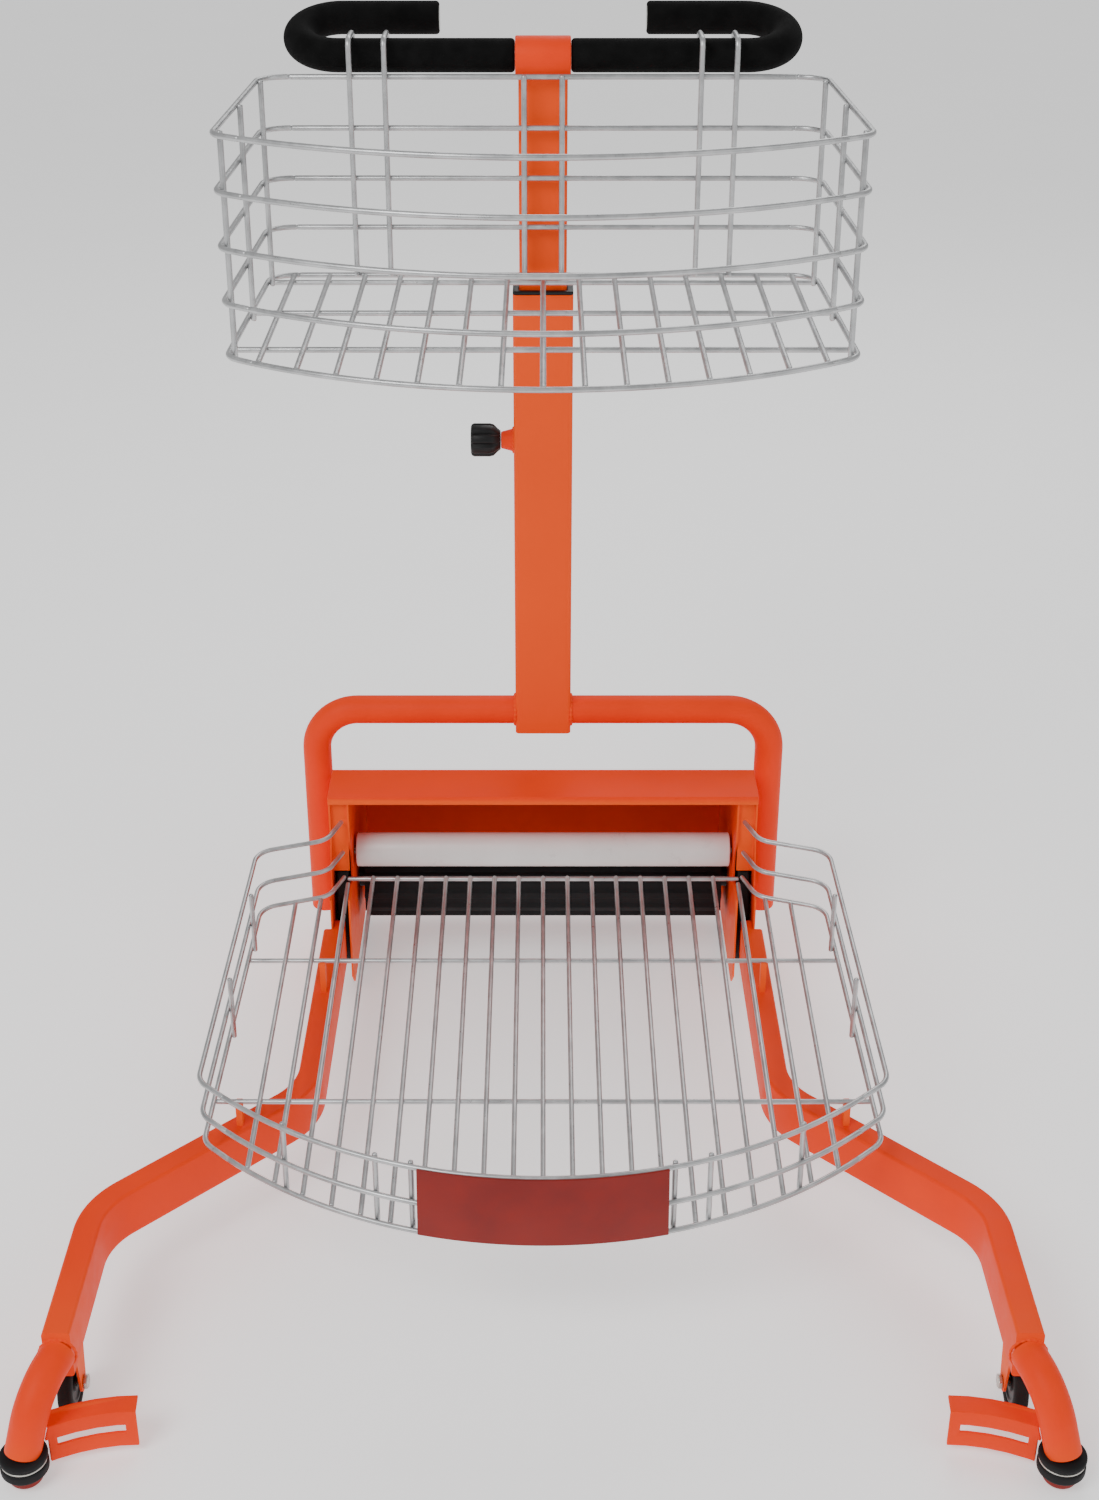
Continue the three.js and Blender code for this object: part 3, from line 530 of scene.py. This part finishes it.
def build_arms():
    middle = (RAIL["low"] + RAIL["high"]) / 2
    section = rounded_rectangle(RAIL["width"], RAIL["high"] - RAIL["low"], RAIL["edge"])
    out, wire, _ = WELD["leg"]
    for name, sign in SIDES.items():
        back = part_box(f"arm_{name}")[1].y
        bends = [(RAIL["x"], back), (RAIL["x"], RAIL["bend"])]
        bends += [(ARM["x"], ARM["elbow"]), (ARM["x"], ARM["tip"])]
        corners = mirrored([(x, y, middle) for x, y in bends], sign)
        beam = swept(section, rounded(corners, RAIL["corner"], 14))
        route = mirrored([LEG["start"], LEG["knee"], LEG["foot"]], sign)
        leg = swept(circle(LEG["r"], 40), rounded(route, LEG["bend"], 16))
        weld = bead((sign * ARM["x"], ARM["tip"], LEG["start"][2]), LEG["r"] + out, wire, (0, 1, 0))
        stands = [stand(sign, x, y) for x, y in STANDS["places"]]
        shape = bundle([beam, leg, weld, *wheel_fork(name, sign), *stands])
        piece(f"arm_tube_{name}", *shape, "orange", "chassis", [f"arm_{name}"])
        refine(f"ball_guide_{name}", 0.0012)


def stand(sign, x, y):
    """A post from the rail up to the lower basket's floor."""
    half_x, half_y = STANDS["half_x"], STANDS["half_y"]
    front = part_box("lower_basket_front")[0].y + LOWER["wire"]
    top = LOWER["base"] + LOWER["slope"] * (y - half_y - front) - LOWER["wire"] - GAP
    return block((sign * x - half_x, y - half_y, RAIL["high"] - SINK), (sign * x + half_x, y + half_y, top))


def wheel_fork(name, sign):
    """The two plates under the arm that carry the front wheel's axle."""
    y, z, _ = round_part(f"front_axle_{name}")
    top = RAIL["low"] + SINK
    outline = arc(y, z, FORK["end"], pi, 2 * pi, 18) + [(y + FORK["half"], top), (y - FORK["half"], top)]
    return [slab(outline, sign * x, sign * (x + FORK["sheet"])) for x in FORK["plates"]]


def build_feet():
    x, y = LEG["foot"][:2]
    r, hub, bore = ROLLER["r"], ROLLER["hub"], ROLLER["bore"]
    split_low, split_high = ROLLER["groove"]
    cap, pin, chamfer = ROLLER["cap"], ROLLER["pin"], ROLLER["chamfer"]
    for name, sign in SIDES.items():
        low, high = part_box(f"bumper_roller_{name}")
        lower = turned_z(band(bore, r, low.z, split_low), sign * x, y, 0.003)
        upper = turned_z(band(bore, r, split_high, high.z), sign * x, y, 0.003)
        neck = turned_z(band(bore, hub, split_low - SINK, split_high + SINK), sign * x, y, 0.0002)
        rings = bundle([lower, upper, neck])
        piece(f"bumper_rings_{name}", *rings, "rubber", f"bumper_{name}", [f"bumper_roller_{name}"])
        bottom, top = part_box(f"roller_washer_{name}")
        washer = turned_z(band(hub + GAP, ROLLER["washer"], bottom.z, top.z), sign * x, y, 0.0004)
        piece(f"bumper_washer_{name}", *washer, "zinc", "chassis", [f"roller_washer_{name}"])
        brim, tip = low.z - GAP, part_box(f"leg_cap_{name}")[1].z
        outline = [(CORE, 0), (cap - chamfer, 0), (cap, chamfer), (cap, brim)]
        outline += [(pin, brim), (pin, tip), (CORE, tip)]
        shape = turned_z(outline, sign * x, y, 0.0015)
        piece(f"foot_cap_{name}", *shape, "red_paint", "chassis", [f"leg_cap_{name}"])


def build_front_wheels():
    for name, sign in SIDES.items():
        y, z, r = round_part(f"front_tyre_{name}")
        edge = round_part(f"front_hub_{name}")[2]
        near, far = inner_outer(f"front_tyre_{name}")
        tyre = turned(band(edge + GAP, r, near, far), y, z, 0.0035, 96, sign)
        piece(f"front_tread_{name}", *tyre, "tyre", f"front_wheel_{name}", [f"front_tyre_{name}"])
        left, right = near + FRONT["inset"], far - FRONT["inset"]
        hub, web = FRONT["hub"]
        sunk = left + FRONT["dish"]
        half = [(FRONT["bore"], left), (hub, left), (web, sunk), (edge - FRONT["bead"], sunk)]
        half += [(edge - FRONT["lip"], left), (edge, left)]
        outline = half + [(radius, left + right - x) for radius, x in reversed(half)]
        shape = turned(outline, y, z, 0.0005, 72, sign)
        piece(f"front_rim_{name}", *shape, "black_plastic", f"front_wheel_{name}", [f"front_hub_{name}"])
        refine(f"front_axle_{name}", 0.0006)


# ---- hood, side boxes and rotor ----
def touch(r, top, y, z):
    """Angle at which an arc about y, z runs on into the straight line up to the crown."""
    dy, dz = HOOD["crown"] - y, top - z
    return atan2(dz, dy) - acos(r / hypot(dy, dz))


def build_hood(y, z):
    low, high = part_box("hood")
    top, sheet, tail = high.z, HOOD["sheet"], radians(HOOD["tail"])
    outer, inner = HOOD["r"], HOOD["r"] - sheet
    lip, crown, fold = HOOD["lip"], HOOD["crown"], top - HOOD["fold"]
    outline = arc(y, z, outer, tail, touch(outer, top, y, z))
    outline += [(crown, top), (lip + HOOD["chamfer"], top), (lip, top - HOOD["chamfer"]), (lip, fold)]
    outline += [(lip + sheet, fold), (lip + sheet, top - sheet), (crown, top - sheet)]
    outline += arc(y, z, inner, touch(inner, top - sheet, y, z), tail)
    piece("hood_sheet", *slab(outline, low.x, high.x), "orange", "chassis", ["hood"], smooth=25, bevel=0.0005)
    for name, sign in SIDES.items():
        for which in ("inner", "outer"):
            build_side_plate(which, name, sign, y, z)
        refine(f"rail_joint_block_{name}", 0.001)
        refine(f"leg_spacer_{name}", 0.0008)
        build_fasteners(name, sign, y, z)


def build_side_plate(which, name, sign, y, z):
    """One plate of a side box. The outer one has a flap that points inwards at its front."""
    node = f"{which}_side_plate_{name}"
    face, sheet = inner_outer(node)[1], HOOD["sheet"]
    outline = plate_outline(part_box(node)[0], PLATE[which], y, z)
    shape = [slab(outline, sign * (face - sheet), sign * face)]
    if which == "outer":
        (y0, y1), (z0, z1) = FLAP["y"], FLAP["z"]
        shape.append(block((sign * FLAP["near"], y0, z0), (sign * (face - sheet / 2), y1, z1)))
    piece(f"{which}_plate_{name}", *bundle(shape), "orange", "chassis", [node], smooth=25)


def plate_outline(low, notch, y, z):
    """Side view of a box plate, just inside the hood."""
    r = HOOD["r"] - HOOD["sheet"] - GAP
    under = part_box("hood")[1].z - HOOD["sheet"] - GAP
    front, neck = low.y, HOOD["lip"] + PLATE["inset"]
    outline = [(front, PLATE["chin"]), (front, PLATE["sill"])]
    outline += [(notch, height) for height in PLATE["notch"]]
    outline += [(neck, PLATE["neck"]), (neck, under), (HOOD["crown"], under)]
    outline += arc(y, z, r, touch(r, under, y, z), radians(HOOD["tail"]))
    return outline + [(y, low.z), (front + PLATE["chin"] - low.z, low.z)]


def build_fasteners(name, sign, y, z):
    """Nut on the axle's end and the bolts that hold the box plates."""
    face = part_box("outer_side_plate_right")[1].x
    places = [(y, z, FASTENER["nut"])]
    places += [(y - FASTENER["ahead"], height, FASTENER["bolt"]) for height in FASTENER["heights"]]
    heads = []
    for at_y, at_z, r in places:
        hexagon = arc(at_y, at_z, r, 0, 2 * pi, 6)[:-1]
        heads.append(slab(hexagon, sign * face, sign * (face + FASTENER["out"])))
    piece(f"plate_bolts_{name}", *bundle(heads), "zinc", "chassis", bevel=0.0005)


def build_rotor(y, z):
    refine("rotor", 0.0012)
    low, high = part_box("axle")
    rod = turned(band(CORE, DRIVE["axle"], low.x, high.x), y, z, 0.0008, 48)
    piece("axle_rod", *rod, "zinc", "chassis", ["axle"])
    bore, boss, start = DRIVE["bore"], DRIVE["boss"], DRIVE["boss_end"]
    hub, web, rim, edge = DRIVE["hub"], DRIVE["web"], DRIVE["rim"], DRIVE["edge"]
    dish = DRIVE["dish"]
    for name, sign in SIDES.items():
        near, far = inner_outer(f"drive_tyre_{name}")
        tyre = turned(band(edge + 2 * GAP, DRIVE["tyre"], near, far), y, z, 0.003, 128, sign)
        piece(f"drive_tread_{name}", *tyre, "tyre", "rotor", [f"drive_tyre_{name}"])
        left, right = near + DRIVE["inset"], far - DRIVE["inset"]
        outline = [(bore, start), (boss, start), (boss, left), (web, left + dish), (rim, left), (edge, left)]
        outline += [(edge, right), (rim, right), (web, right - dish), (hub + dish, right - dish)]
        outline += [(hub, right), (bore, right)]
        disc = turned(outline, y, z, 0.0008, 96, sign)
        piece(f"drive_disc_{name}", *disc, "black_plastic", "rotor", [f"drive_wheel_{name}"])


def build_guide_roller():
    y, z, r = round_part("guide_roller")
    low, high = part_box("guide_roller")
    roller = turned(band(GUIDE_SHAFT + GAP, r, low.x, high.x), y, z, 0.002)
    piece("white_guide_roller", *roller, "white_plastic", "guide_roller", ["guide_roller"])
    low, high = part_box("guide_roller_shaft")
    shaft = turned(band(CORE, GUIDE_SHAFT, low.x, high.x), y, z, 0.0006, 32)
    piece("guide_shaft", *shaft, "zinc", "chassis", ["guide_roller_shaft"])


# ---- wire baskets ----
def bow(x, radius, front):
    """Y of a basket's bowed front at x."""
    return front + radius - sqrt(radius * radius - x * x)


def bow_line(half, radius, front, steps=60):
    """Plan points of a bowed front wire from -half to half."""
    places = [half * (2 * i / steps - 1) for i in range(steps + 1)]
    return [(x, bow(x, radius, front)) for x in places]


def wires(lines, r, sides=12):
    return bundle([swept(circle(r, sides), line, ends=r * 0.7) for line in lines])


def plan(corners, radius, steps=10):
    return [(p.x, p.y) for p in rounded([(x, y, 0) for x, y in corners], radius, steps)]


def crossing(side, y):
    """X where a side's plan line, given front to back, passes y."""
    for (x0, y0), (x1, y1) in zip(side, side[1:]):
        if (y0 - y) * (y1 - y) <= 0 and y0 != y1:
            return x0 + (x1 - x0) * (y - y0) / (y1 - y0)
    raise ValueError(f"the side has no point at y {y}")


def build_lower_basket():
    r, radius = LOWER["wire"], LOWER["bow"]
    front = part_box("lower_basket_front")[0].y + r
    rises = LOWER["rises"]

    def lift(points, rise):
        return [Vector((x, y, LOWER["base"] + rise + LOWER["slope"] * (y - front))) for x, y in points]

    reach = LOWER["reach"]
    side = plan([(reach, bow(reach, radius, front)), *LOWER["side"]], LOWER["bend"])
    for name, sign in SIDES.items():
        walls = [lift([(sign * x, y) for x, y in side], rise) for rise in rises]
        for y in LOWER["side_posts"]:
            foot = [(sign * (crossing(side, y) - 2 * r), y)]
            walls.append(lift(foot, 0) + lift(foot, rises[-1]))
        shape = wires(walls, r)
        piece(f"lower_side_wires_{name}", *shape, "wire", "lower_basket", [f"lower_basket_side_{name}"])
    levels = [lift(bow_line(reach + SINK, radius, front), rise) for rise in rises]
    for x in LOWER["front_posts"]:
        foot = [(x, bow(x, radius, front) + 2 * r)]
        levels.append(lift(foot, -r) + lift(foot, rises[-1] + r))
    piece("lower_front_wires", *wires(levels, r), "wire", "lower_basket", ["lower_basket_front"])

    floor = []
    for k in range(-10, 11):
        x = k * LOWER["pitch"]
        rear = LOWER["short"].get(abs(k), LOWER["rear"])
        floor.append(lift([(x, bow(x, radius, front) + r), (x, rear)], 0))
    floor.append(lift([(-LOWER["rear_half"], LOWER["rear"]), (LOWER["rear_half"], LOWER["rear"])], -r))
    for y in LOWER["cross"]:
        half = crossing(side, y)
        floor.append(lift([(-half, y), (half, y)], -r))
    piece("lower_floor_wires", *wires(floor, r), "wire", "lower_basket", ["lower_basket_floor"])
    build_badge(radius, front, r)


def build_badge(radius, front, r):
    """The plain curved plate on the front of the lower basket."""
    sheet, height = BADGE["sheet"], BADGE["height"]
    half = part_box("front_plate")[1].x - 2 * GAP
    out = radius + r + GAP + sheet / 2
    angle = asin(half / radius)
    path = []
    for x, y in arc(0, front + radius, out, -pi / 2 - angle, -pi / 2 + angle, 40):
        path.append(Vector((x, y, LOWER["base"] + height / 2 + LOWER["slope"] * (y - front))))
    shape = swept(rounded_rectangle(sheet, height, BADGE["edge"]), path)
    piece("front_badge_plate", *shape, "red_paint", "lower_basket", ["front_plate"], smooth=50)


def build_upper_basket():
    r, radius = UPPER["wire"], UPPER["bow"]
    back_low, back_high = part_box("upper_basket_back")
    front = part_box("upper_basket_front")[0].y + r
    back = (back_low.y + back_high.y) / 2
    base, top = back_low.z + r, back_high.z - r
    levels = [base + (top - base) * i / 4 for i in range(5)]
    reach, corner = UPPER["reach"], UPPER["corner"]
    corners = [(reach, bow(reach, radius, front)), (corner, bow(corner, radius, front))]
    side = plan(corners + [(UPPER["rear"], back), (UPPER["back_reach"], back)], UPPER["bend"])

    def at(points, z):
        return [Vector((x, y, z)) for x, y in points]

    def post(x, y):
        return [Vector((x, y, base - r)), Vector((x, y, top + r))]

    for name, sign in SIDES.items():
        walls = [at([(sign * x, y) for x, y in side], z) for z in levels]
        walls += [post(sign * (crossing(side, y) - 2 * r), y) for y in UPPER["side_posts"]]
        shape = wires(walls, r)
        piece(f"upper_side_wires_{name}", *shape, "wire", "upper_basket", [f"upper_basket_side_{name}"])
    fronts = [at(bow_line(reach + SINK, radius, front), z) for z in levels]
    piece("upper_front_wires", *wires(fronts, r), "wire", "upper_basket", ["upper_basket_front"])
    half = UPPER["back_reach"] + SINK
    backs = [at([(-half, back), (half, back)], z) for z in levels]
    backs += [post(sign * UPPER["back_post"], back - 2 * r) for sign in SIDES.values()]
    piece("upper_back_wires", *wires(backs, r), "wire", "upper_basket", ["upper_basket_back"])

    floor = []
    for k in range(-7, 8):
        x = k * UPPER["pitch"]
        floor.append(at([(x, bow(x, radius, front) + r), (x, back - r)], base))
    for y in UPPER["cross"]:
        half = crossing(side, y)
        floor.append(at([(-half, y), (half, y)], base - r))
    piece("upper_floor_wires", *wires(floor, r), "wire", "upper_basket", ["upper_basket_floor"])

    near, far = UPPER["hook"]
    ahead = back - 2 * r
    for name, sign in SIDES.items():
        hook_low, hook_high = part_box(f"basket_hook_{name}")
        crest, behind, drop = hook_high.z - r, hook_high.y - r, hook_low.z + r
        one_leg = [(near, ahead, base), (near, ahead, crest), (near, behind, crest), (near, behind, drop)]
        other_leg = [(far, y, z) for _, y, z in reversed(one_leg)]
        loop = rounded(mirrored(one_leg + other_leg, sign), UPPER["hook_bend"], 8)
        piece(f"hook_wires_{name}", *wires([loop], r), "wire", "upper_basket", [f"basket_hook_{name}"])


# ---- stage ----
def build_stage():
    bpy.ops.mesh.primitive_plane_add(size=STUDIO["floor"], location=(0, 0, 0))
    floor = bpy.context.object
    floor.name = "studio_floor"
    made = surface("studio_floor", (0.93, 0.93, 0.93), (0.95, 0.95, 0.95), (0.7, 0.8), fine=60, bump=0.02,
                   coarse=2)
    shader = made.node_tree.nodes["Principled BSDF"]
    shader.inputs["Emission Color"].default_value = (1, 1, 1, 1)
    shader.inputs["Emission Strength"].default_value = STUDIO["glow"]
    floor.data.materials.append(made)
    world = bpy.data.worlds.new("studio")
    bpy.context.scene.world = world
    world.use_nodes = True
    sky = world.node_tree.nodes["Background"]
    sky.inputs["Color"].default_value = (1, 1, 1, 1)
    sky.inputs["Strength"].default_value = STUDIO["sky"]
    for name, (place, size, power) in LIGHTS.items():
        light = bpy.data.lights.new(name, "AREA")
        light.size = size
        light.energy = power
        lamp = bpy.data.objects.new(name, light)
        bpy.context.scene.collection.objects.link(lamp)
        lamp.location = place
        lamp.rotation_euler = (Vector(STUDIO["aim"]) - Vector(place)).to_track_quat("-Z", "Y").to_euler()


def build_camera():
    lens = bpy.data.cameras.new("camera")
    lens.sensor_fit = "VERTICAL"
    lens.sensor_height = CAMERA["sensor"]
    lens.lens = CAMERA["lens"]
    lens.shift_x = CAMERA["shift"]
    camera = bpy.data.objects.new("camera", lens)
    bpy.context.scene.collection.objects.link(camera)
    camera.location = CAMERA["place"]
    camera.rotation_euler = (radians(CAMERA["tilt"]), 0, 0)
    bpy.context.scene.camera = camera


build_camera()
build_stage()
arch_y, arch_z, arch_r = build_arch()
build_mast(arch_y, arch_z, arch_r)
build_knob(arch_y)
build_handlebar(arch_y)
build_arms()
build_feet()
build_front_wheels()
axle_y, axle_z, _ = round_part("axle")
build_hood(axle_y, axle_z)
build_rotor(axle_y, axle_z)
build_guide_roller()
build_lower_basket()
build_upper_basket()
